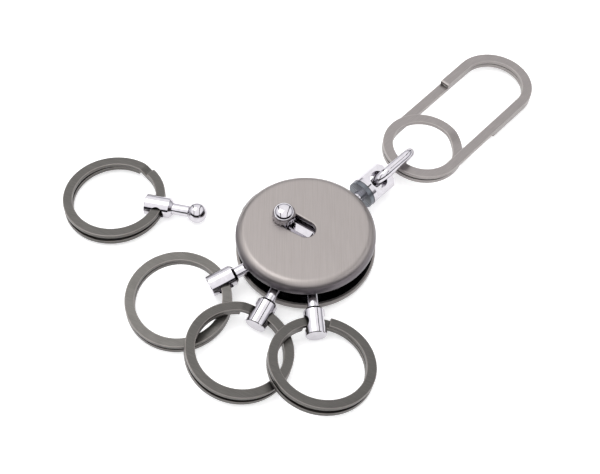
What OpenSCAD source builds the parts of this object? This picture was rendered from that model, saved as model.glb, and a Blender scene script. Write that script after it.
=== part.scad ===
// Key organiser: a flat disc whose rim holds ball-ended studs, each carrying a split key ring.
// A sprung gate in the disc lets one stud out at a time, and a swivel carries a belt clip.
// Frame: origin on the disc's axis at its lower face, +Z up, +Y along the swivel. Millimetres.

/* [Disc] */
// Diameter of the two covers
disc_d = 33.2; // [33.2:0.1:34.4]
// Height of the disc over both covers
disc_h = 10.4; // [10.4:0.1:10.8]
// Gap between the lips of the covers, which the stud necks slide along
lip_gap = 3.9; // [3.8:0.05:4.1]
// Wall thickness of the covers
cover_t = 1.2; // [1:0.1:1.3]
// Rounding round the edge of each face
edge_r = 2.2; // [1.6:0.1:2.4]

/* [Studs] */
// Diameter of the stud's ball
ball_d = 5; // [4.8:0.1:5.1]
// Diameter of the stud's neck
neck_d = 2.84; // [2.4:0.02:2.9]
// Diameter of the stud's barrel
barrel_d = 5.1; // [4.8:0.1:5.4]
// Distance from the ball's centre to the barrel's full diameter
barrel_start = 6.8; // [6.6:0.1:7]
// Distance from the ball's centre to the barrel's outer end
barrel_end = 12.9; // [12.6:0.1:13.4]
// Distance from the ball's centre to the cross hole that the ring passes through
hole_at = 9.65; // [9.6:0.05:9.8]
// Diameter of the cross hole
hole_d = 3.7; // [3.65:0.05:3.8]
// Radius of the circle that the ball centres run on
track_r = 12.6; // [12.5:0.1:12.7]
// How far the studs droop from level, in degrees
droop = 9; // [7:0.5:9]

/* [Key rings] */
// Outer diameter of a split ring
ring_d = 25; // [24:0.5:25]
// Width of the ring's flat wire
ring_w = 2.3; // [2:0.1:2.3]
// Thickness of one of the ring's two turns
ring_t = 1; // [0.9:0.02:1]

/* [Swivel and belt clip] */
// Diameter of the swivel head
head_d = 7.3; // [7:0.1:7.6]
// Half the thickness of the head between its two flats
head_flat = 2; // [1.8:0.1:2]
// How far the head is turned from upright, in degrees
head_turn = 25; // [0:5:30]
// Diameter of the link's wire
link_wire = 2.5; // [2.3:0.1:2.5]
// Radius of the link's ends, to the middle of the wire
link_r = 3.45; // [3.45:0.05:3.6]
// Outer width of the belt clip
clip_w = 20.28; // [19.5:0.1:20.3]
// Width of the clip's flat wire
clip_band = 2.5; // [2.2:0.1:2.6]
// Thickness of one of the clip's two layers
clip_t = 1; // [0.8:0.05:1.1]
// Distance between the centres of the clip's eye and its top bend
clip_length = 29.8; // [28:0.1:32]

/* [Gate] */
// Direction of the gate and its knob, in degrees from +X
gate_a = 189; // [187:0.5:190]
// Distance of the knob from the disc's axis with the gate shut
knob_at = 6.2; // [6:0.1:6.4]
// Diameter of the knob
knob_d = 5.7; // [5.4:0.1:5.9]
// Width of the slot that the knob runs in
slot_w = 4.6; // [4.4:0.1:4.8]
// How far the gate slides back
gate_travel = 5; // [4.5:0.1:5]

/* [Hidden] */
$fn = 64;

disc_r = disc_d / 2;
inner_r = disc_r - cover_t;
mid_z = disc_h / 2;
cover_h = (disc_h - lip_gap) / 2;
floor_z = cover_t;
ceiling_z = disc_h - cover_t;
lip_bevel = 0.2;

// Races: rings with a round groove that hold the balls between them
race_clear = 0.12;
groove_r = ball_d / 2 + race_clear;
race_in = 9.9;
race_out = inner_r - 0.1;
race_gap = 4;
core_r = race_in - 0.1;

// Cover screws, countersunk into the lower cover, one clear of the gate on each side
screw_a = [gate_a + 90, gate_a - 52, gate_a - 135];
screw_at = 6.8;
screw_r = 1;
screw_head_r = 1.8;
screw_head_h = 0.9;
screw_top_z = 7.4;
driver_w = 0.5;
driver_l = 2.4;
driver_depth = 0.5;

// Gate: a sliding plate whose bent end fills a doorway in the upper lip
fit_gap = 0.1;
plate_w = 5.4;
plate_z = 7.9;
plate_t = 0.6;
plate_in = -3.6;
tongue_in = disc_r - 1.1;
tongue_out = disc_r - 0.35;
door_w = 5.6;
bar_w = 1.9;
bar_in = -1.5;
bar_top_z = ceiling_z - fit_gap;
shank_r = 1.2;
rivet_r = 0.7;
knob_gap = 0.15;
skirt_h = 0.6;
flutes = 18;
flute_r = 0.22;
spring_r = 0.9;
spring_wire = 0.25;
spring_z = 6.6;
spring_from = -8.4;
lug_at = 3;
lug_t = 1;
spring_turns = 11;
spring_channel = 2.6;

// Swivel pin, washer and head, along +Y at the disc's mid height
pin_r = 1.5;
pin_root_y = 3;
pin_thread_gap = 0.01;
pin_fit = 0.07;
washer_y = 19.4;
washer_t = 1.1;
head_y = washer_y + washer_t + 0.1;
flange_t = 1.1;
head_end_y = 28.5;
rivet_y = 21.85;
rivet_end_y = 22.7;
rivet_flare = 0.35;
link_near_y = 24.5;
link_far_y = 37.2;
head_hole_r = 2.22;
head_hole_y = 25.07;

// Belt clip: centre of its eye, its turn in plan, and the way that its plane leans
eye_r = clip_w / 2;
eye_c = [0.8, 41.72, 4.46];
clip_yaw = 2.7;
clip_lean_x = -3.7;
clip_lean_y = 4.1;
layer_gap = 0.06;
clip_cut_y = 20.5;
clip_tail_y = 16.5;
dive_a = 46;
joint_a = 5;

// Studs in the disc: direction round the disc, and roll about the stud's own axis
stud_a = [250.8, 286, 319];
stud_roll = [-6.4, -10, -10.5];
// Ring slope along the stud, and the angle by which its two turns spread apart
ring_slope = [-3.6, 0.15, 0.3];
ring_spread = [2.2, 3.1, 3];

// The loose stud and its ring lie on the table beside the disc
loose_ball = [-26.45, -10.44, 2.66];
loose_a = 210.9;
loose_droop = 0.4;
loose_roll = 0;
loose_slope = -1.7;
loose_spread = 3.4;

// The ring's wire curves, so its middle stands a little off the axis of the hole that it fills
hole_offset = -0.1;
hinge_to_mid = ring_d / 2 - ring_w / 2 + hole_offset;
turn_gap = 0.08;
shoulder_r = 1.9;
shoulder = 0.7;
end_bevel = 0.15;

// ---------- frames ----------

module gate_frame() {
    rotate([0, 0, gate_a]) children();
}

// A stud's frame: origin at the ball, +X out along the stud, +Y along its cross hole
module stud_frame(i) {
    rotate([0, 0, stud_a[i]]) translate([track_r, 0, mid_z])
        rotate([0, droop, 0]) rotate([stud_roll[i], 0, 0]) children();
}

module loose_frame() {
    translate(loose_ball) rotate([0, 0, loose_a])
        rotate([0, loose_droop, 0]) rotate([loose_roll, 0, 0]) children();
}

// The swivel head's frame: +Y along the pin, +Z along the head's cross hole
module head_frame() {
    translate([0, 0, mid_z]) rotate([0, head_turn, 0]) children();
}

// The clip's frame: origin at its eye, +Y towards its top bend, +Z out of its plane
module clip_frame() {
    translate(eye_c) rotate([clip_lean_x, clip_lean_y, clip_yaw]) children();
}

// A cylinder along +Y from y0 to y1
module y_rod(y0, y1, r0, r1) {
    translate([0, y0, 0]) rotate([-90, 0, 0]) cylinder(h = y1 - y0, r1 = r0, r2 = r1);
}

// ---------- covers ----------

// Half section of a cover: a cup with a rounded outer edge and a bevelled lip
module cover_section() {
    difference() {
        union() {
            square([disc_r - edge_r, cover_h]);
            translate([0, edge_r]) square([disc_r, cover_h - edge_r]);
            translate([disc_r - edge_r, edge_r]) circle(edge_r);
        }
        translate([-1, cover_t]) square([inner_r + 1, cover_h]);
        polygon([[inner_r, cover_h], [disc_r + 1, cover_h - lip_bevel * (1 + 1 / cover_t)],
                 [disc_r + 1, cover_h + 1], [inner_r, cover_h + 1]]);
        translate([-disc_r, -1]) square([disc_r, disc_h]);
    }
}

module at_screws() {
    for (a = screw_a) rotate([0, 0, a]) translate([screw_at, 0, 0]) children();
}

module bottom_cover() {
    color("#8f8a88") difference() {
        rotate_extrude() cover_section();
        at_screws() {
            translate([0, 0, -1]) cylinder(h = floor_z + 2, r = screw_r + fit_gap);
            translate([0, 0, -fit_gap])
                cylinder(h = screw_head_h + 2 * fit_gap, r1 = screw_head_r + 2 * fit_gap, r2 = screw_r + fit_gap);
        }
    }
}

module top_cover() {
    color("#b3acaa") difference() {
        union() {
            translate([0, 0, disc_h]) mirror([0, 0, 1]) rotate_extrude() cover_section();
            at_screws() translate([0, 0, screw_top_z - 0.4])
                cylinder(h = ceiling_z - screw_top_z + 0.8, r = screw_head_r);
        }
        at_screws() translate([0, 0, screw_top_z - 1]) cylinder(h = 2, r = screw_r + pin_thread_gap);
        gate_frame() {
            for (x = [0, knob_at]) translate([x, 0, ceiling_z - 1]) cylinder(h = cover_t + 2, d = slot_w);
            translate([0, -slot_w / 2, ceiling_z - 1]) cube([knob_at, slot_w, cover_t + 2]);
            translate([race_out - 0.5, -door_w / 2, mid_z]) cube([cover_t + 2, door_w, ceiling_z - mid_z]);
        }
    }
}

// ---------- inside the disc ----------

module core() {
    color("#2b2b2d") difference() {
        translate([0, 0, floor_z]) cylinder(h = ceiling_z - floor_z, r = core_r);
        at_screws() {
            translate([0, 0, floor_z - 1]) cylinder(h = disc_h, r = screw_r + fit_gap);
            translate([0, 0, screw_top_z - 0.5]) cylinder(h = disc_h, r = screw_head_r + fit_gap);
        }
        gate_frame() {
            translate([plate_in - gate_travel - 0.5, -plate_w / 2 - fit_gap, plate_z - fit_gap])
                cube([2 * disc_r, plate_w + 2 * fit_gap, disc_h]);
            translate([spring_from - fit_gap, -spring_channel / 2, spring_z - spring_channel / 2])
                cube([lug_at + lug_t - spring_from + 3 * fit_gap, spring_channel, disc_h]);
            translate([core_r - 1.2, -door_w / 2, mid_z + race_gap / 2 - fit_gap]) cube([2, door_w, disc_h]);
        }
        translate([0, 0, mid_z]) y_rod(pin_root_y, disc_r, pin_r + pin_thread_gap, pin_r + pin_thread_gap);
    }
}

// Half section of the lower race: a flat ring with a round groove for the balls
module race_section() {
    difference() {
        translate([race_in, floor_z]) square([race_out - race_in, mid_z - race_gap / 2 - floor_z]);
        translate([track_r, mid_z]) circle(groove_r);
    }
}

module lower_race() {
    color("#55565a") rotate_extrude() race_section();
}

module upper_race() {
    color("#55565a") difference() {
        translate([0, 0, disc_h]) mirror([0, 0, 1]) rotate_extrude() race_section();
        gate_frame() translate([0, -door_w / 2, mid_z]) cube([disc_r, door_w, disc_h]);
    }
}

module cover_screws() {
    color("#9b9da0") at_screws() difference() {
        union() {
            translate([0, 0, 0.1]) cylinder(h = screw_head_h, r1 = screw_head_r, r2 = screw_r);
            translate([0, 0, 0.1]) cylinder(h = screw_top_z + 0.4, r = screw_r);
        }
        translate([-driver_l / 2, -driver_w / 2, -1]) cube([driver_l, driver_w, 1.1 + driver_depth]);
    }
}

// ---------- gate ----------

module gate_slide() {
    color("#d6d8dc") gate_frame() {
        difference() {
            union() {
                intersection() {
                    translate([plate_in, -plate_w / 2, plate_z]) cube([2 * disc_r, plate_w, plate_t]);
                    cylinder(h = disc_h, r = tongue_out);
                }
                intersection() {
                    translate([tongue_in, -plate_w / 2, mid_z + race_gap / 2]) cube([2, plate_w, plate_z - race_gap]);
                    cylinder(h = plate_z + plate_t, r = tongue_out);
                }
                translate([bar_in, -bar_w / 2, plate_z]) cube([knob_at - shank_r - bar_in - 0.2, bar_w, bar_top_z - plate_z]);
                translate([lug_at, -1, spring_z - 1]) cube([lug_t, 2, plate_z - spring_z + 1.1]);
            }
            translate([knob_at, 0, plate_z - 1]) cylinder(h = 3, r = rivet_r + pin_thread_gap);
        }
    }
}

module gate_knob() {
    base_z = disc_h + knob_gap;
    color("#eceef0") gate_frame() translate([knob_at, 0, 0]) {
        translate([0, 0, plate_z + plate_t]) cylinder(h = base_z - plate_z - plate_t, r = shank_r);
        translate([0, 0, plate_z]) cylinder(h = plate_t + 0.1, r = rivet_r);
        difference() {
            translate([0, 0, base_z]) cylinder(h = skirt_h, d = knob_d);
            for (k = [0 : flutes - 1]) rotate([0, 0, k * 360 / flutes])
                translate([knob_d / 2 + 0.05, 0, base_z - 1]) cylinder(h = skirt_h + 1, r = flute_r);
        }
        translate([0, 0, base_z + skirt_h]) intersection() {
            sphere(d = knob_d - 0.1);
            translate([0, 0, disc_h / 2]) cube([disc_h, disc_h, disc_h], center = true);
        }
    }
}

// The return spring, drawn as a row of close rings on a thin core wire
module gate_spring() {
    pitch = (lug_at - spring_from - 2 * spring_wire - 0.1) / (spring_turns - 1);
    color("#c4c6ca") gate_frame() translate([spring_from + spring_wire, 0, spring_z]) {
        for (k = [0 : spring_turns - 1]) translate([k * pitch, 0, 0]) rotate([0, 90, 0])
            rotate_extrude() translate([spring_r, 0]) circle(spring_wire);
        translate([0, spring_r, 0]) rotate([0, 90, 0]) cylinder(h = pitch * (spring_turns - 1), r = spring_wire * 0.8);
    }
}

// ---------- swivel ----------

module swivel_pin() {
    color("#dfe1e4") translate([0, 0, mid_z]) {
        y_rod(pin_root_y, rivet_y, pin_r, pin_r);
        y_rod(rivet_y, rivet_end_y, pin_r, pin_r + rivet_flare);
    }
}

module swivel_washer() {
    color("#77797d") translate([0, 0, mid_z]) difference() {
        y_rod(washer_y, washer_y + washer_t, head_d / 2 - 0.1, head_d / 2 - 0.1);
        y_rod(washer_y - 1, head_y, pin_r + 0.02, pin_r + 0.02);
    }
}

module swivel_head() {
    bore_r = pin_r + pin_fit;
    chamfer = 0.8;
    color("#eceef0") head_frame() difference() {
        union() {
            y_rod(head_y, head_y + flange_t, head_d / 2, head_d / 2);
            intersection() {
                union() {
                    y_rod(head_y, head_end_y - chamfer, head_d / 2, head_d / 2);
                    y_rod(head_end_y - chamfer, head_end_y, head_d / 2, head_d / 2 - chamfer);
                }
                translate([-head_d, head_y, -head_flat]) cube([2 * head_d, 2 * head_d, 2 * head_flat]);
            }
        }
        translate([0, head_hole_y, -head_d]) cylinder(h = 2 * head_d, r = head_hole_r);
        y_rod(head_y - 1, rivet_y - pin_fit, bore_r, bore_r);
        y_rod(rivet_y - pin_fit, head_hole_y, bore_r, bore_r + (head_hole_y - rivet_y) * rivet_flare / (rivet_end_y - rivet_y));
    }
}

// Oval link: two straight runs and two round ends, standing in the head's plane
module swivel_link() {
    run_y0 = link_near_y + link_r;
    run_y1 = link_far_y - link_r;
    color("#eceef0") head_frame() {
        for (s = [-1, 1]) translate([0, 0, s * link_r]) y_rod(run_y0, run_y1, link_wire / 2, link_wire / 2);
        translate([0, run_y0, 0]) rotate([0, 90, 0]) rotate([0, 0, 180])
            rotate_extrude(angle = 180) translate([link_r, 0]) circle(link_wire / 2);
        translate([0, run_y1, 0]) rotate([0, 90, 0])
            rotate_extrude(angle = 180) translate([link_r, 0]) circle(link_wire / 2);
    }
}

// ---------- belt clip ----------

// Plan of part of the clip's round wire path: a band round the origin that keeps clear of a notch
// between directions a0 and a1, less than half a turn apart
module arc_plan(a0, a1) {
    reach = 2 * eye_r;
    difference() {
        circle(eye_r);
        circle(eye_r - clip_band);
        polygon([[0, 0], [reach * cos(a0), reach * sin(a0)],
                 [reach * cos((a0 + a1) / 2), reach * sin((a0 + a1) / 2)], [reach * cos(a1), reach * sin(a1)]]);
    }
}

// Plan of a straight run of the clip's wire on side s (-1 left, 1 right), from y0 to y1
module run_plan(s, y0, y1) {
    translate([s * (eye_r - clip_band / 2) - clip_band / 2, y0]) square([clip_band, y1 - y0]);
}

// Plan of the top bend, a half circle round the far end of the loop
module top_plan() {
    translate([0, clip_length]) intersection() {
        difference() {
            circle(eye_r);
            circle(eye_r - clip_band);
        }
        translate([-eye_r, 0]) square([2 * eye_r, eye_r]);
    }
}

// One flat wire wound in two layers: the upper layer runs from its cut end over the top bend and
// round the eye, dives under the right-hand run, and the lower layer follows the outline again.
module belt_clip() {
    color("#a39c97") clip_frame() {
        translate([0, 0, layer_gap / 2]) linear_extrude(height = clip_t) {
            run_plan(-1, clip_cut_y, clip_length);
            top_plan();
            run_plan(1, 0, clip_length);
            arc_plan(0, dive_a);
        }
        translate([0, 0, -clip_t - layer_gap / 2]) linear_extrude(height = clip_t) {
            arc_plan(dive_a + 2 * joint_a, 180);
            run_plan(-1, 0, clip_length);
            top_plan();
            run_plan(1, clip_tail_y, clip_length);
        }
        rotate([0, 0, dive_a + joint_a]) translate([eye_r - clip_band / 2, 0, 0])
            cube([clip_band / 2, clip_band / 2, clip_t], center = true);
    }
}

// ---------- studs and rings ----------

// Half section of a stud along +Y: ball, neck, shoulder and barrel
module stud_section() {
    intersection() {
        circle(d = ball_d);
        translate([0, -ball_d]) square([ball_d, 2 * ball_d]);
    }
    square([neck_d / 2, barrel_start]);
    polygon([[0, barrel_start - shoulder], [shoulder_r, barrel_start - shoulder], [barrel_d / 2, barrel_start],
             [barrel_d / 2, barrel_end - end_bevel], [barrel_d / 2 - end_bevel, barrel_end], [0, barrel_end]]);
}

// A turned stud with a cross hole for its ring
module stud() {
    color("#e4e6e9") difference() {
        rotate([0, 90, 0]) rotate_extrude() stud_section();
        translate([hole_at, barrel_d, 0]) rotate([90, 0, 0]) cylinder(h = 2 * barrel_d, d = hole_d);
    }
}

// One turn of a split ring, with the stud's hole at the origin and its lower face at z0
module ring_turn(z0) {
    translate([hinge_to_mid, 0, z0]) difference() {
        cylinder(h = ring_t, d = ring_d, $fn = 96);
        translate([0, 0, -1]) cylinder(h = ring_t + 2, d = ring_d - 2 * ring_w, $fn = 96);
    }
}

// A split ring hanging in the stud's hole: two turns that spread apart away from the stud,
// joined by a short block in the hole where the wire steps from one turn to the other
module key_ring(slope, spread, stud_droop) {
    color("#6c6b6d") translate([hole_at, 0, 0]) rotate([0, -slope - stud_droop, 0]) {
        rotate([0, -spread / 2, 0]) ring_turn(turn_gap / 2);
        rotate([0, spread / 2, 0]) ring_turn(-turn_gap / 2 - ring_t);
        cube([ring_w / 2, ring_w, ring_t], center = true);
    }
}

bottom_cover();
top_cover();
core();
lower_race();
upper_race();
cover_screws();
gate_slide();
gate_knob();
gate_spring();
swivel_pin();
swivel_washer();
swivel_head();
swivel_link();
belt_clip();
stud_frame(0) stud();  // stud_1
stud_frame(1) stud();  // stud_2
stud_frame(2) stud();  // stud_3
loose_frame() stud();  // stud_4
stud_frame(0) key_ring(ring_slope[0], ring_spread[0], droop);  // ring_1
stud_frame(1) key_ring(ring_slope[1], ring_spread[1], droop);  // ring_2
stud_frame(2) key_ring(ring_slope[2], ring_spread[2], droop);  // ring_3
loose_frame() key_ring(loose_slope, loose_spread, loose_droop);  // ring_4
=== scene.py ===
"""Looks of a key organiser: satin steel covers, mirror-chrome studs and swivel, and
rings and a belt clip wound from flat spring wire. All sizes are millimetres until the
last step, when a shape's points are put in the row frame in metres."""

import math

import bpy
import numpy as np
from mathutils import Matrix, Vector


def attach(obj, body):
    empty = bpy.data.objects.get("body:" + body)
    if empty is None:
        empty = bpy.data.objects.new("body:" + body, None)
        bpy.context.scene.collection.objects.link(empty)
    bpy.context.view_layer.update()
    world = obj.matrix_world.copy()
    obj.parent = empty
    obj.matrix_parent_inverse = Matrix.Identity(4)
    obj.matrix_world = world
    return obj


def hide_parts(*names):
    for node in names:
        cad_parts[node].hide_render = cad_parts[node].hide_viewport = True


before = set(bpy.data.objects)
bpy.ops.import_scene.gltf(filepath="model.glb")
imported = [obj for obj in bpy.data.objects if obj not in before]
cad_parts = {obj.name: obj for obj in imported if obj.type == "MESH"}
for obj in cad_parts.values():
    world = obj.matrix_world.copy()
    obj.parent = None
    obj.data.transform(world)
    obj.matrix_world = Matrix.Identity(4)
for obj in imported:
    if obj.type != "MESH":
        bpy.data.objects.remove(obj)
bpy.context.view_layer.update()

MM = 0.001

# Sizes of the real thing, in millimetres, as the CAD has them
DISC_R, DISC_H, COVER_T, EDGE_R = 16.6, 10.4, 1.2, 2.2
MID_Z = DISC_H / 2
LIP_Z = 7.15                      # lower edge of the top cover
CEILING_Z = DISC_H - COVER_T
DOOR_TOP_Z = 8.62                 # top of the doorway in the top cover's side
TRACK_R, DROOP, HOLE_AT = 12.6, 9.0, 9.65
GATE_A, KNOB_AT, KNOB_D, SLOT_W, DOOR_W = 189.0, 6.2, 5.7, 4.6, 5.6
RING_D, RING_W, RING_T, TURN_GAP, HOLE_OFFSET = 25.0, 2.3, 1.0, 0.08, -0.1
RING_MID = (RING_D - RING_W) / 2
HINGE_TO_MID = RING_MID + HOLE_OFFSET
CLIP_W, CLIP_BAND, CLIP_T, CLIP_LENGTH = 20.28, 2.5, 1.0, 29.8
CLIP_MID = (CLIP_W - CLIP_BAND) / 2
CLIP_GAP, EYE_SAG, BEND_SAG = 0.06, 0.38, 0.16    # gap between the layers, extra drops of the lower one
# painted gap shade: where the lower cover is painted black inside its lip
GAP_SHADE_R, GAP_SHADE_FROM_Z = DISC_R - 0.5, 1.5         # where the lower cover is black inside


# ---------- places ----------

def turn(axis, degrees):
    """Rotation matrix about row axis 0, 1 or 2 by the right-hand rule."""
    c, s = math.cos(math.radians(degrees)), math.sin(math.radians(degrees))
    i, j = [(1, 2), (2, 0), (0, 1)][axis]
    m = np.eye(3)
    m[i, i] = m[j, j] = c
    m[i, j], m[j, i] = -s, s
    return m


def place(rotation, origin):
    """A frame as (3 x 3 rotation, origin in mm)."""
    return np.asarray(rotation, float), np.asarray(origin, float)


def ring_place(stud, slope, droop):
    """Frame of a split ring: origin in its stud's cross hole, +X towards the ring's centre,
    +Z out of its face."""
    rotation, origin = stud
    return rotation @ turn(1, -slope - droop), origin + rotation @ np.array([HOLE_AT, 0, 0])


def disc_stud_place(direction, roll):
    """Frame of a stud in the disc: origin at its ball's centre, +X out of the disc."""
    rotation = turn(2, direction) @ turn(1, DROOP) @ turn(0, roll)
    return place(rotation, turn(2, direction) @ np.array([TRACK_R, 0, MID_Z]))


STUDS = [disc_stud_place(250.8, -6.4), disc_stud_place(286.0, -10.0), disc_stud_place(319.0, -10.5),
         place(turn(2, 210.9) @ turn(1, 0.4), [-26.45, -10.44, 2.66])]
GATE = place(turn(2, GATE_A), [0, 0, 0])
CLIP = place(turn(2, 2.7) @ turn(1, 4.1) @ turn(0, -3.7), [0.8, 41.72, 4.46])


# ---------- meshes ----------

def make_piece(name, points, faces, where, body, node, material, uv=None, edge=None, smooth=True):
    """Puts points (n x 3, mm, in the frame `where`) and faces into a mesh object at the row frame's origin.
    uv gives each point's place on the surface in mm. edge gives each point's share,
    from 0 to 1, of the second colour: a painted highlight on the wire's corners and cut ends, painted shade on
    the cover's side, slot wall and inside."""
    rotation, origin = where
    co = (np.asarray(points, float) @ rotation.T + origin) * MM
    mesh = bpy.data.meshes.new(name)
    mesh.from_pydata(co.tolist(), [], faces)
    if uv is not None:
        loops = np.empty(len(mesh.loops), int)
        mesh.loops.foreach_get("vertex_index", loops)
        mesh.uv_layers.new(name="surface").data.foreach_set("uv", np.asarray(uv, float)[loops].ravel())
    if edge is not None:
        mesh.attributes.new("edge", "FLOAT", "POINT").data.foreach_set("value", np.asarray(edge, float))
    mesh.polygons.foreach_set("use_smooth", [smooth] * len(mesh.polygons))
    mesh.update()
    piece = bpy.data.objects.new(name, mesh)
    bpy.context.scene.collection.objects.link(piece)
    mesh.materials.append(material)
    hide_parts(node)
    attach(piece, body)
    return piece


def grid_faces(rows, columns, close_rows=False, close_columns=True):
    """Quads of a grid whose point (row i, column j) has index i * columns + j; a closed way joins its
    last line to its first."""
    i = np.arange(rows if close_rows else rows - 1)
    j = np.arange(columns if close_columns else columns - 1)
    i, j = (a.ravel() for a in np.meshgrid(i, j, indexing="ij"))
    i2, j2 = (i + 1) % rows, (j + 1) % columns
    return np.stack([i * columns + j, i * columns + j2, i2 * columns + j2, i2 * columns + j], 1)


def wire_section(width, height, bevel, steps=3):
    """Cross-section of flat wire, counter-clockwise: a rectangle whose corners are quarter circles of
    radius `bevel`. Returns its points (across, up) and 1 where a point lies on a corner, 0 on a flat."""
    a = np.radians(np.arange(0, 91, 90 / steps))
    arc = np.stack([np.cos(a), np.sin(a)], 1) * bevel
    points, edge = [], []
    for k, (sx, sy) in enumerate([(1, 1), (-1, 1), (-1, -1), (1, -1)]):
        c, s = [(1, 0), (0, 1), (-1, 0), (0, -1)][k]
        middle = np.array([sx * (width / 2 - bevel), sy * (height / 2 - bevel)])
        corner = arc @ np.array([[c, s], [-s, c]]) + middle
        points.append(corner)
        edge.append([1.0] * len(corner))
        nxt = [(-1, 1), (-1, -1), (1, -1), (1, 1)][k]
        end = corner[-1]
        goal = np.array([nxt[0] * (width / 2 - bevel), nxt[1] * (height / 2 - bevel)])
        goal = goal + bevel * np.array([(0, 1), (-1, 0), (0, -1), (1, 0)][k])
        for t in (0.06, 0.5, 0.94):
            points.append((end + (goal - end) * t)[None, :])
            edge.append([0.0])
    return np.concatenate(points), np.concatenate(edge)


def flat_wire(centre, across, section, edge, end_bevel=0.12):
    """Sweep of flat wire. Point (i, j) is centre[i] + section[j].across * across[i] + section[j].up * Z:
    the section stays upright and square to the path in plan. The first and last row shrink the section by
    the end bevel, and caps close it."""
    along = np.gradient(centre, axis=0)
    along /= np.linalg.norm(along, axis=1, keepdims=True)
    c = np.concatenate([centre[:1], centre[:1] + along[:1] * end_bevel, centre[1:-1],
                        centre[-1:] - along[-1:] * end_bevel, centre[-1:]])
    a = np.concatenate([across[:1], across[:1], across[1:-1], across[-1:], across[-1:]])
    shrink = 1 - 2 * end_bevel / np.ptp(section, axis=0)
    scale = np.ones((len(c), 2))
    scale[0] = scale[-1] = shrink
    s = section[None, :, :] * scale[:, None, :]
    points = c[:, None, :] + s[:, :, :1] * np.concatenate([a, np.zeros((len(a), 1))], 1)[:, None, :]
    points[:, :, 2] += s[:, :, 1]
    n, m = len(c), len(section)
    length = np.concatenate([[0], np.cumsum(np.linalg.norm(np.diff(c, axis=0), axis=1))])
    girth = np.concatenate([[0], np.cumsum(np.linalg.norm(np.diff(section, axis=0), axis=1))])
    uv = np.stack(np.meshgrid(length, girth, indexing="ij"), 2).reshape(-1, 2)
    # painted highlight: full on the corners, at least 0.6 on the first and last two rows at the cut ends
    painted_light = np.tile(edge, (n, 1))
    painted_light[[0, 1, -2, -1]] = np.maximum(painted_light[[0, 1, -2, -1]], 0.6)
    faces = grid_faces(n, m)[:, ::-1].tolist()
    faces.append(list(range(m))[::-1])
    faces.append(list(range((n - 1) * m, n * m)))
    return points.reshape(-1, 3), faces, uv, painted_light.ravel()


def smooth_step(x):
    """0 before 0, 1 after 1, and 3x^2 - 2x^3 between."""
    x = np.clip(x, 0, 1)
    return x * x * (3 - 2 * x)


def ring_path(dive, half, spread):
    """Middle line of a split ring's wire in the ring's frame. The angle t is measured round the ring from the
    stud's hole towards +Y. The upper turn starts at dive + half, goes once round, sinks by one wire thickness
    between dive - half and dive + half, and the lower turn goes once round again. Both turns lean apart by the
    spread angle, in proportion to 1 - cos(t - dive)."""
    t = np.radians(np.linspace(dive + half, dive + 720 - half, 420))
    d = math.radians(dive)
    turns = (t - d) / (2 * math.pi)
    low = smooth_step((turns - 1) * 360 / (2 * half) + 0.5)
    side = 1 - 2 * low
    lean = RING_MID * np.tan(math.radians(spread / 2)) * (1 - np.cos(t - d))
    z = side * ((RING_T + TURN_GAP) / 2 + lean)
    centre = np.stack([HINGE_TO_MID - RING_MID * np.cos(t), RING_MID * np.sin(t), z], 1)
    across = np.stack([-np.cos(t), np.sin(t)], 1)
    return centre, across


# ---------- materials ----------

NOISE_RANGE = {"From Min": 0.3, "From Max": 0.7}    # where most of a noise's values lie


def linear(hexa):
    """sRGB hex colour to linear red, green, blue, alpha."""
    c = np.array([int(hexa[k:k + 2], 16) / 255 for k in (1, 3, 5)])
    c = np.where(c <= 0.04045, c / 12.92, ((c + 0.055) / 1.055) ** 2.4)
    return (*c.tolist(), 1.0)


def add(tree, kind, settings=None, inputs=None, stops=()):
    """Adds one node: settings are its attributes, inputs are socket values or the sockets that feed it, and
    stops are a colour ramp's (place, sRGB hex) pairs."""
    node = tree.nodes.new(kind)
    while stops and len(node.color_ramp.elements) < len(stops):
        node.color_ramp.elements.new(0.5)
    for stop, (at, colour) in zip(node.color_ramp.elements if stops else (), stops):
        stop.position = at
        stop.color = linear(colour)
    for key, value in (settings or {}).items():
        setattr(node, key, value)
    for key, value in (inputs or {}).items():
        if isinstance(value, bpy.types.NodeSocket):
            tree.links.new(value, node.inputs[key])
        else:
            node.inputs[key].default_value = value
    return node


def metal(name, base, metallic=1.0, roughness=0.3):
    """An empty metal: its tree, shader and output."""
    material = bpy.data.materials.new(name)
    material.use_nodes = True
    tree = material.node_tree
    tree.nodes.clear()
    shader = add(tree, "ShaderNodeBsdfPrincipled", {},
                 {"Base Color": linear(base), "Metallic": metallic, "Roughness": roughness})
    add(tree, "ShaderNodeOutputMaterial", {}, {"Surface": shader.outputs[0]})
    return material, tree, shader


def brushed(tree, direction, line, length):
    """Brushing lines: noise that is `line` mm across the stroke and `length` mm along it, strokes in
    `direction` degrees."""
    where = add(tree, "ShaderNodeTexCoord").outputs["Object"]
    mapping = add(tree, "ShaderNodeMapping", {"vector_type": "TEXTURE"},
                  {"Vector": where, "Rotation": (0, 0, math.radians(direction)),
                   "Scale": (length * MM, line * MM, MM)})
    noise = add(tree, "ShaderNodeTexNoise", {}, {"Vector": mapping.outputs[0], "Scale": 1.0, "Detail": 3.0})
    return noise.outputs["Fac"]


def blotches(tree, size_mm):
    """Slow unevenness of a finish, as noise of that size."""
    where = add(tree, "ShaderNodeTexCoord").outputs["Object"]
    noise = add(tree, "ShaderNodeTexNoise", {}, {"Vector": where, "Scale": 1000 / size_mm, "Detail": 2.0})
    return noise.outputs["Fac"]
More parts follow.
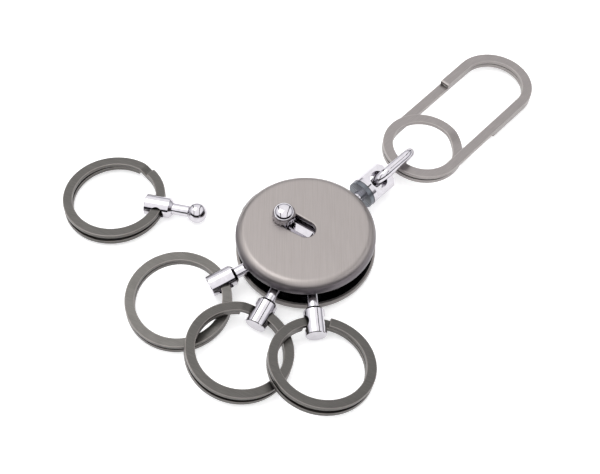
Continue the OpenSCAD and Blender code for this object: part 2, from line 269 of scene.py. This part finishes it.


# Stainless steel, linished flat on a belt: warm grey, fine straight strokes, soft wide reflections. The side
# and the slot's wall are painted darker (attribute edge): painted shade, for the dull reflection the side takes
# from below and the shade on the slot's wall
def satin_cover_steel():
    material, tree, shader = metal("satin_linished_stainless_steel", "#a39c9a", roughness=0.36)
    lines = brushed(tree, -46.5, 0.16, 7.0)
    tone = add(tree, "ShaderNodeValToRGB", {}, {"Fac": lines},
               [(0.25, "#908a87"), (0.5, "#948e8c"), (0.75, "#98928f")]).outputs[0]
    side = add(tree, "ShaderNodeAttribute", {"attribute_name": "edge"}).outputs["Fac"]
    # painted shade: the side and the slot's wall are mixed towards a darker grey
    mixed = add(tree, "ShaderNodeMix", {"data_type": "RGBA"},
                {0: side, 6: tone, 7: linear("#5f5a5e")}).outputs[2]
    tree.links.new(mixed, shader.inputs["Base Color"])
    gloss = add(tree, "ShaderNodeMapRange", {},
                {"Value": blotches(tree, 4.0), **NOISE_RANGE, "To Min": 0.33, "To Max": 0.40}).outputs[0]
    tree.links.new(gloss, shader.inputs["Roughness"])
    relief = add(tree, "ShaderNodeBump", {},
                 {"Height": lines, "Distance": 0.003 * MM, "Strength": 1.0}).outputs[0]
    tree.links.new(relief, shader.inputs["Normal"])
    return material


# The same steel at the lower cover, turned: strokes run round the disc. The inside is painted black from half a
# millimetre inside the rim inwards and above 1.5 mm: painted shade of the dark gap between the covers, where
# the black race shows. It stands for a lip that is thinner on the real cover than on the CAD node
def turned_cover_steel():
    material, tree, shader = metal("turned_satin_steel", "#7c7775", roughness=0.34)
    lines = brushed(tree, 0, 12.0, 12.0)
    where = add(tree, "ShaderNodeTexCoord").outputs["Object"]
    mapping = add(tree, "ShaderNodeMapping", {"vector_type": "TEXTURE"},
                  {"Vector": where, "Scale": (20 * MM, 20 * MM, 0.18 * MM)})
    rings = add(tree, "ShaderNodeTexNoise", {},
                {"Vector": mapping.outputs[0], "Scale": 1.0, "Detail": 2.0}).outputs["Fac"]
    tone = add(tree, "ShaderNodeValToRGB", {}, {"Fac": rings},
               [(0.3, "#6c6866"), (0.7, "#837e7c")]).outputs[0]
    flat = add(tree, "ShaderNodeVectorMath", {"operation": "MULTIPLY"},
               {0: where, 1: (1.0, 1.0, 0.0)}).outputs[0]
    radius = add(tree, "ShaderNodeVectorMath", {"operation": "LENGTH"}, {0: flat}).outputs["Value"]
    height = add(tree, "ShaderNodeSeparateXYZ", {}, {0: where}).outputs[2]
    inner = add(tree, "ShaderNodeMath", {"operation": "LESS_THAN"}, {0: radius, 1: GAP_SHADE_R * MM}).outputs[0]
    above = add(tree, "ShaderNodeMath", {"operation": "GREATER_THAN"},
                {0: height, 1: GAP_SHADE_FROM_Z * MM}).outputs[0]
    # painted gap shade: inside the lip and above the bottom, the base colour goes to near black
    painted_gap_shade = add(tree, "ShaderNodeMath", {"operation": "MULTIPLY"}, {0: inner, 1: above}).outputs[0]
    both = add(tree, "ShaderNodeMix", {"data_type": "RGBA"},
               {0: painted_gap_shade, 6: tone, 7: linear("#0c0c0d")}).outputs[2]
    tree.links.new(both, shader.inputs["Base Color"])
    gloss = add(tree, "ShaderNodeMapRange", {},
                {"Value": lines, **NOISE_RANGE, "To Min": 0.30, "To Max": 0.38}).outputs[0]
    tree.links.new(gloss, shader.inputs["Roughness"])
    relief = add(tree, "ShaderNodeBump", {},
                 {"Height": rings, "Distance": 0.005 * MM, "Strength": 1.0}).outputs[0]
    tree.links.new(relief, shader.inputs["Normal"])
    return material


# Flat spring wire, brushed, for the split rings (dark nickel) and the belt clip (lighter steel): fine strokes,
# corners painted lighter as a painted highlight along the wire's edges
def ring_wire_steel(name, flat, painted_light, direction):
    dark, light = flat
    material, tree, shader = metal(name, light, roughness=0.36)
    lines = brushed(tree, direction, 0.14, 3.0)
    tone = add(tree, "ShaderNodeValToRGB", {}, {"Fac": lines},
               [(0.3, dark), (0.7, light)]).outputs[0]
    edge = add(tree, "ShaderNodeAttribute", {"attribute_name": "edge"}).outputs["Fac"]
    mixed = add(tree, "ShaderNodeMix", {"data_type": "RGBA"}, {0: edge, 6: tone, 7: linear(painted_light)}).outputs[2]
    tree.links.new(mixed, shader.inputs["Base Color"])
    gloss = add(tree, "ShaderNodeMapRange", {},
                {"Value": blotches(tree, 2.5), **NOISE_RANGE, "To Min": 0.30, "To Max": 0.38}).outputs[0]
    tree.links.new(gloss, shader.inputs["Roughness"])
    relief = add(tree, "ShaderNodeBump", {},
                 {"Height": lines, "Distance": 0.006 * MM, "Strength": 1.0}).outputs[0]
    tree.links.new(relief, shader.inputs["Normal"])
    return material


# Bright nickel-chrome plate on a turned part: mirror, with a faint orange-peel waviness from the plating
def mirror_chrome():
    material, tree, shader = metal("bright_chrome_plate", "#c2bfc4", roughness=0.05)
    wave = blotches(tree, 1.2)
    gloss = add(tree, "ShaderNodeMapRange", {},
                {"Value": wave, **NOISE_RANGE, "To Min": 0.03, "To Max": 0.08}).outputs[0]
    tree.links.new(gloss, shader.inputs["Roughness"])
    tone = add(tree, "ShaderNodeValToRGB", {}, {"Fac": wave},
               [(0.3, "#bdbabf"), (0.7, "#c6c3c8")]).outputs[0]
    tree.links.new(tone, shader.inputs["Base Color"])
    relief = add(tree, "ShaderNodeBump", {},
                 {"Height": wave, "Distance": 0.003 * MM, "Strength": 0.5}).outputs[0]
    tree.links.new(relief, shader.inputs["Normal"])
    return material


# Turned steel face: fine concentric tool marks about the swivel's axis, dull grey
def turned_washer_steel():
    material, tree, shader = metal("turned_grey_steel", "#6e7276", roughness=0.3)
    where = add(tree, "ShaderNodeTexCoord").outputs["Object"]
    mapping = add(tree, "ShaderNodeMapping", {"vector_type": "TEXTURE"},
                  {"Vector": where, "Location": (0, 0, MID_Z * MM), "Scale": (0.001, 1.0, 0.001)})
    marks = add(tree, "ShaderNodeTexWave", {"wave_type": "RINGS", "rings_direction": "SPHERICAL"},
                {"Vector": mapping.outputs[0], "Scale": 0.9, "Distortion": 0.2}).outputs["Fac"]
    tone = add(tree, "ShaderNodeValToRGB", {}, {"Fac": marks},
               [(0.2, "#62666c"), (0.8, "#a0a3a9")]).outputs[0]
    tree.links.new(tone, shader.inputs["Base Color"])
    relief = add(tree, "ShaderNodeBump", {},
                 {"Height": marks, "Distance": 0.01 * MM, "Strength": 1.0}).outputs[0]
    tree.links.new(relief, shader.inputs["Normal"])
    return material


# Black acetal: matt, faintly mottled as it comes off the mould
def black_acetal():
    material, tree, shader = metal("moulded_black_acetal", "#0c0c0d", metallic=0.0, roughness=0.45)
    mottle = blotches(tree, 0.5)
    gloss = add(tree, "ShaderNodeMapRange", {},
                {"Value": mottle, **NOISE_RANGE, "To Min": 0.38, "To Max": 0.52}).outputs[0]
    tree.links.new(gloss, shader.inputs["Roughness"])
    relief = add(tree, "ShaderNodeBump", {},
                 {"Height": mottle, "Distance": 0.004 * MM, "Strength": 1.0}).outputs[0]
    tree.links.new(relief, shader.inputs["Normal"])
    tone = add(tree, "ShaderNodeValToRGB", {}, {"Fac": mottle},
               [(0.3, "#09090a"), (0.7, "#111113")]).outputs[0]
    tree.links.new(tone, shader.inputs["Base Color"])
    return material


# Blackened race steel: dark, slightly shiny where the balls run
def black_race_steel():
    material, tree, shader = metal("blackened_race_steel", "#1b1b1e", metallic=1.0, roughness=0.3)
    mottle = blotches(tree, 0.8)
    gloss = add(tree, "ShaderNodeMapRange", {},
                {"Value": mottle, **NOISE_RANGE, "To Min": 0.24, "To Max": 0.36}).outputs[0]
    tree.links.new(gloss, shader.inputs["Roughness"])
    tone = add(tree, "ShaderNodeValToRGB", {}, {"Fac": mottle},
               [(0.3, "#131315"), (0.7, "#222225")]).outputs[0]
    tree.links.new(tone, shader.inputs["Base Color"])
    return material


COVER = satin_cover_steel()
LOWER_COVER = turned_cover_steel()
# the third colour is the painted highlight on the wire's corners
RING_STEEL = ring_wire_steel("brushed_dark_nickel_wire", ("#545250", "#605e5b"), "#807b78", 20.0)
CLIP_STEEL = ring_wire_steel("brushed_spring_steel_wire", ("#868180", "#8f8a88"), "#a39e9b", 92.7)
CHROME = mirror_chrome()
WASHER = turned_washer_steel()
ACETAL = black_acetal()
RACE = black_race_steel()

for name, material in {"bottom_cover": LOWER_COVER, "core": ACETAL, "lower_race": RACE, "upper_race": RACE,
                       "cover_screws": WASHER, "gate_slide": CHROME, "gate_spring": CHROME,
                       "swivel_pin": CHROME, "swivel_washer": WASHER, "swivel_head": CHROME,
                       "swivel_link": CHROME,
                       "stud_1": CHROME, "stud_2": CHROME, "stud_3": CHROME, "stud_4": CHROME}.items():
    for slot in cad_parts[name].material_slots:
        slot.material = material


# ---------- split rings ----------

RING_SECTION, RING_EDGE = wire_section(RING_W, RING_T, 0.1)
# (slope, droop of its stud, place of the dive, its half length, spread), degrees
RING_FACTS = [(-3.6, DROOP, 0.0, 10.0, 2.0), (0.15, DROOP, -14.0, 12.0, 2.9),
              (0.3, DROOP, 0.0, 17.0, 2.8), (-1.7, 0.4, -62.5, 7.5, 2.9)]
for k, (slope, droop, dive, half, spread) in enumerate(RING_FACTS):
    centre, across = ring_path(dive, half, spread)
    points, faces, uv, painted_light = flat_wire(centre, across, RING_SECTION, RING_EDGE)
    make_piece(f"split_ring_{k + 1}", points, faces, ring_place(STUDS[k], slope, droop), f"ring_{k + 1}",
               f"ring_{k + 1}", RING_STEEL, uv, painted_light)


# ---------- belt clip ----------

def clip_path():
    """Plan of the middle line of the clip's wire, in the clip's frame: straight runs and arcs of radius
    CLIP_MID, up the left run, round the top bend, down the right run, once round the eye, then the same way
    again one layer lower. Also gives each point's level: 0 in the upper layer, 1 in the lower, and a smooth
    step between on the stretch where the eye passes under the right run."""
    def run(x, y0, y1):
        y = np.linspace(y0, y1, max(2, int(abs(y1 - y0) / 0.8)))
        return np.stack([np.full_like(y, x), y], 1)

    def arc(cy, a0, a1):
        a = np.radians(np.linspace(a0, a1, int(abs(a1 - a0) / 2.5) + 1))
        return np.stack([CLIP_MID * np.cos(a), cy + CLIP_MID * np.sin(a)], 1)

    upper = [run(-CLIP_MID, 20.5, CLIP_LENGTH), arc(CLIP_LENGTH, 180, 0), run(CLIP_MID, CLIP_LENGTH, 0)]
    eye = [arc(0, 0, -360 + 78), arc(0, 78, 44), arc(0, 44, -180)]
    lower = [run(-CLIP_MID, 0, CLIP_LENGTH), arc(CLIP_LENGTH, 180, 0), run(CLIP_MID, CLIP_LENGTH, 16.5)]
    parts = upper + eye + lower
    layer = [0, 0, 0, 0, None, 1, 1, 1, 1]
    plan, level = [], []
    for piece, where in zip(parts, layer):
        t = np.linspace(0, 1, len(piece))
        plan.append(piece[1:] if plan else piece)
        steps = smooth_step(t) if where is None else np.full(len(piece), float(where))
        level.append(steps[1:] if level else steps)
    plan, level = np.concatenate(plan), np.concatenate(level)
    return plan, level


def clip_wire_line():
    """Middle line of the clip's wire in space, and its outward direction in plan. The height is
    (0.5 - level) * one layer, less EYE_SAG * level at the eye and BEND_SAG * level at the top bend, each
    reached by a smooth step along Y."""
    plan, level = clip_path()
    tangent = np.gradient(plan, axis=0)
    tangent /= np.linalg.norm(tangent, axis=1, keepdims=True)
    outward = np.stack([-tangent[:, 1], tangent[:, 0]], 1)
    low_eye = level * smooth_step((CLIP_MID * 0.2 - plan[:, 1]) / CLIP_MID)
    low_bend = level * smooth_step((plan[:, 1] - CLIP_LENGTH + 4) / CLIP_MID)
    height = (0.5 - level) * (CLIP_T + CLIP_GAP) - EYE_SAG * low_eye - BEND_SAG * low_bend
    return np.concatenate([plan, height[:, None]], 1), outward


clip_centre, outward = clip_wire_line()
clip_section, clip_edge = wire_section(CLIP_BAND, CLIP_T, 0.08)
points, faces, uv, painted_light = flat_wire(clip_centre, outward, clip_section, clip_edge)
make_piece("belt_clip_wire", points, faces, CLIP, "belt_clip", "belt_clip", CLIP_STEEL, uv, painted_light)


# ---------- top cover ----------

def top_cover_surface():
    """Closed shell round the gate's slot, in the gate's frame. Column angle u goes round; row v goes up the
    slot's wall, over its rounded lip, out over the flat, round the edge, down the side, under the lip, up
    the inside and back along the ceiling. A row in between is (1 - w) times the slot's outline plus w times
    a circle of the row's radius. The slot's outline is where a ray at angle u from the slot's middle meets
    a stadium. Over the doorway the lip stands higher."""
    door = math.degrees(math.asin(DOOR_W / 2 / (DISC_R - COVER_T / 2)))
    u = np.arange(0, 360, 1.5)
    clear_of_jamb = np.abs(np.abs((u + 180) % 360 - 180) - door) > 0.6
    jambs = [door - 0.05, door + 0.05, 360 - door - 0.05, 360 - door + 0.05]
    u = np.sort(np.concatenate([u[clear_of_jamb], jambs]))
    in_door = np.abs((u + 180) % 360 - 180) < door
    a = np.radians(u)
    ray = np.stack([np.cos(a), np.sin(a)], 1)
    half, r = KNOB_AT / 2, SLOT_W / 2
    side = np.abs(ray[:, 1]) * half >= r * np.abs(ray[:, 0])
    with np.errstate(divide="ignore", invalid="ignore"):
        reach = np.where(side, r / np.abs(ray[:, 1]),
                         half * np.abs(ray[:, 0]) + np.sqrt(np.maximum(r * r - (half * ray[:, 1]) ** 2, 0)))
    slot = np.array([half, 0]) + ray * reach[:, None]
    flat_r = DISC_R - EDGE_R
    rows, edge = [], []

    # each row's share of the darker colour is painted shade on the slot's wall, the side, the lip and the
    # inside
    def row(w, radius, z, out=0.0, painted_light=0.0):
        plan = (slot + ray * out) * (1 - w) + ray * radius * w
        rows.append(np.concatenate([plan, np.broadcast_to(z, len(u))[:, None]], 1))
        edge.append(np.full(len(u), painted_light))

    lip = 0.4                                       # rounding of the slot's edge
    row(0, 0, CEILING_Z, painted_light=1.0)
    row(0, 0, CEILING_Z + 0.2, painted_light=1.0)
    for f in np.radians([0, 18, 36, 54, 72, 90]):
        row(0, 0, DISC_H - lip * (1 - math.sin(f)), lip * (1 - math.cos(f)), max(0.0, 0.8 - f))
    for w in (0.02, 0.12, 0.3, 0.5, 0.7, 0.88, 0.97, 1.0):
        row(w, flat_r, DISC_H, lip)
    for f in np.radians(np.arange(7.5, 91, 7.5)):
        side_shade_share = float(smooth_step((f - 0.5) / 0.8))
        row(1, flat_r + EDGE_R * math.sin(f), DISC_H - EDGE_R * (1 - math.cos(f)), painted_light=side_shade_share)
    foot = np.where(in_door, DOOR_TOP_Z, LIP_Z)
    for t in (0.25, 0.5, 0.75):
        row(1, DISC_R, (DISC_H - EDGE_R) * (1 - t) + (foot + 0.3) * t, painted_light=1.0)
    row(1, DISC_R, foot + 0.3, painted_light=1.0)
    row(1, DISC_R - 0.06, foot + 0.14, painted_light=0.4)
    row(1, DISC_R - 0.25, foot + 0.04, painted_light=0.6)
    row(1, DISC_R - COVER_T + 0.1, foot, painted_light=1.0)
    row(1, DISC_R - COVER_T, foot + 0.1, painted_light=1.0)
    row(1, DISC_R - COVER_T, CEILING_Z - 0.2, painted_light=1.0)
    row(1, DISC_R - COVER_T - 0.2, CEILING_Z, painted_light=1.0)
    for w in (0.8, 0.5, 0.25, 0.08):
        row(w, DISC_R - COVER_T - 0.2, CEILING_Z, painted_light=1.0)
    points = np.concatenate(rows)
    return points, grid_faces(len(rows), len(u), close_rows=True).tolist(), np.concatenate(edge)


points, faces, painted_light = top_cover_surface()
make_piece("top_cover_shell", points, faces, GATE, "disc", "top_cover", COVER, edge=painted_light)


# ---------- gate knob ----------

def knob_surface(columns=216, flutes=20):
    """Surface of revolution about the knob's axis: shank, fluted skirt, and a full dome with radius
    ball * cos(f) ^ 0.8 at height ball * sin(f) ^ 0.9. On the skirt's rows the radius is reduced by
    depth * (1 - |cos(flutes * u / 2)|), which cuts round-bottomed flutes between sharp crests."""
    u = np.linspace(0, 2 * math.pi, columns, endpoint=False)
    base = DISC_H + 0.15
    ball = KNOB_D / 2 - 0.05
    rows = [(0.0, 8.0, 0), (0.7, 8.0, 0), (0.7, 8.5, 0), (1.2, 8.5, 0), (1.2, base, 0), (2.3, base, 0),
            (2.75, base + 0.02, 0.5), (2.85, base + 0.1, 1), (2.85, base + 0.5, 1), (2.8, base + 0.62, 1)]
    rows += [(ball * math.cos(f) ** 0.8, base + 0.6 + ball * math.sin(f) ** 0.9, max(0.0, 0.8 - 4 * f))
             for f in np.radians(np.arange(4, 90, 4.3))]
    rows.append((0.0, base + 0.6 + ball, 0))
    r, z, depth = (np.array(c)[:, None] for c in zip(*rows))
    radius = r - np.where(r > 0, depth * 0.32 * (1 - np.abs(np.cos(flutes * u / 2)))[None, :], 0)
    points = np.stack([radius * np.cos(u), radius * np.sin(u), np.broadcast_to(z, radius.shape)], 2)
    n = len(rows)
    body = points[1:-1].reshape(-1, 3)
    faces = grid_faces(n - 2, columns).tolist()
    low, high = len(body), len(body) + 1
    last = (n - 3) * columns
    faces += [[(j + 1) % columns, j, low] for j in range(columns)]
    faces += [[last + j, last + (j + 1) % columns, high] for j in range(columns)]
    return np.concatenate([body, [[0, 0, 8.0], [0, 0, base + 0.6 + ball]]]), faces


points, faces = knob_surface()
knob_place = place(GATE[0], GATE[0] @ np.array([KNOB_AT, 0, 0]))
make_piece("gate_knob_turned", points, faces, knob_place, "gate", "gate_knob", CHROME)


# ---------- studio ----------

def studio():
    """A lit white table in a white tent: bright above, greyer near the horizon, with a dark opening on one side
    and two dark seams overhead that draw the streaks in chrome."""
    a = np.radians(np.arange(0, 360, 5))
    rim = np.stack([np.cos(a), np.sin(a), np.zeros_like(a)], 1) * 20
    rim[:, 2] = -0.0001
    mesh = bpy.data.meshes.new("floor")
    mesh.from_pydata(rim.tolist(), [], [list(range(len(rim)))])
    floor = bpy.data.objects.new("floor", mesh)
    bpy.context.scene.collection.objects.link(floor)
    material, tree, shader = metal("lit_white_acrylic", "#f4f4f4", metallic=0.0, roughness=0.9)
    shader.inputs["Emission Color"].default_value = linear("#ffffff")
    shader.inputs["Emission Strength"].default_value = 0.4
    mesh.materials.append(material)

    world = bpy.data.worlds.new("tent")
    bpy.context.scene.world = world
    world.use_nodes = True
    tree = world.node_tree
    tree.nodes.clear()
    where = add(tree, "ShaderNodeTexCoord").outputs["Generated"]
    height = add(tree, "ShaderNodeSeparateXYZ", {}, {0: where}).outputs[2]
    toward_front = add(tree, "ShaderNodeVectorMath", {"operation": "DOT_PRODUCT"},
                       {0: where, 1: (0.685, -0.728, 0.0)}).outputs["Value"]
    share = add(tree, "ShaderNodeMapRange", {},
                {"Value": toward_front, "From Min": 0.05, "From Max": 0.45}).outputs[0]
    tent = add(tree, "ShaderNodeValToRGB", {}, {"Fac": height},
               [(0.0, "#a4a4a7"), (0.12, "#8c8c90"), (0.28, "#b8b8bc"),
                               (0.45, "#ececee"), (1.0, "#fafafa")]).outputs[0]
    gap_ = add(tree, "ShaderNodeValToRGB", {}, {"Fac": height},
               [(0.0, "#707074"), (0.08, "#1c1c20"), (0.36, "#1c1c20"),
                               (0.43, "#f0f0f2"), (1.0, "#fafafa")]).outputs[0]
    both = add(tree, "ShaderNodeMix", {"data_type": "RGBA"}, {0: share, 6: tent, 7: gap_}).outputs[2]
    sideways = add(tree, "ShaderNodeVectorMath", {"operation": "DOT_PRODUCT"},
                   {0: where, 1: (0.728, 0.685, 0.0)}).outputs["Value"]
    either_side = add(tree, "ShaderNodeMath", {"operation": "ABSOLUTE"}, {0: sideways}).outputs[0]
    seam = add(tree, "ShaderNodeMath", {"operation": "COMPARE"}, {0: either_side, 1: 0.5, 2: 0.05}).outputs[0]
    seamed = add(tree, "ShaderNodeMix", {"data_type": "RGBA"},
                 {0: seam, 6: both, 7: linear("#1c1c20")}).outputs[2]
    back = add(tree, "ShaderNodeBackground", {}, {"Color": seamed, "Strength": 1.65})
    add(tree, "ShaderNodeOutputWorld", {}, {"Surface": back.outputs[0]})


def lamp(name, azimuth, elevation, distance, size, power):
    """Square soft box that faces the disc."""
    a, e = math.radians(azimuth), math.radians(elevation)
    spot = Vector((math.sin(a) * math.cos(e), -math.cos(a) * math.cos(e), math.sin(e))) * distance
    light = bpy.data.lights.new(name, "AREA")
    light.shape, light.size, light.energy = "SQUARE", size, power
    lamp_ = bpy.data.objects.new(name, light)
    lamp_.location = spot
    lamp_.rotation_euler = (-spot).to_track_quat("-Z", "Y").to_euler()
    bpy.context.scene.collection.objects.link(lamp_)


studio()
lamp("key_box", -75.0, 66.0, 0.8, 0.5, 1.4)

bpy.context.scene.view_settings.view_transform = "Standard"

eye, target = Vector((0.1465, -0.1563, 0.2967)), Vector((-0.00463, 0.00294, 0.0))
camera = bpy.data.objects.new("camera", bpy.data.cameras.new("camera"))
camera.data.lens, camera.data.sensor_width, camera.data.clip_start = 91.34, 36.0, 0.01
camera.location = eye
camera.rotation_euler = (target - eye).to_track_quat("-Z", "Y").to_euler()
bpy.context.scene.collection.objects.link(camera)
bpy.context.scene.camera = camera
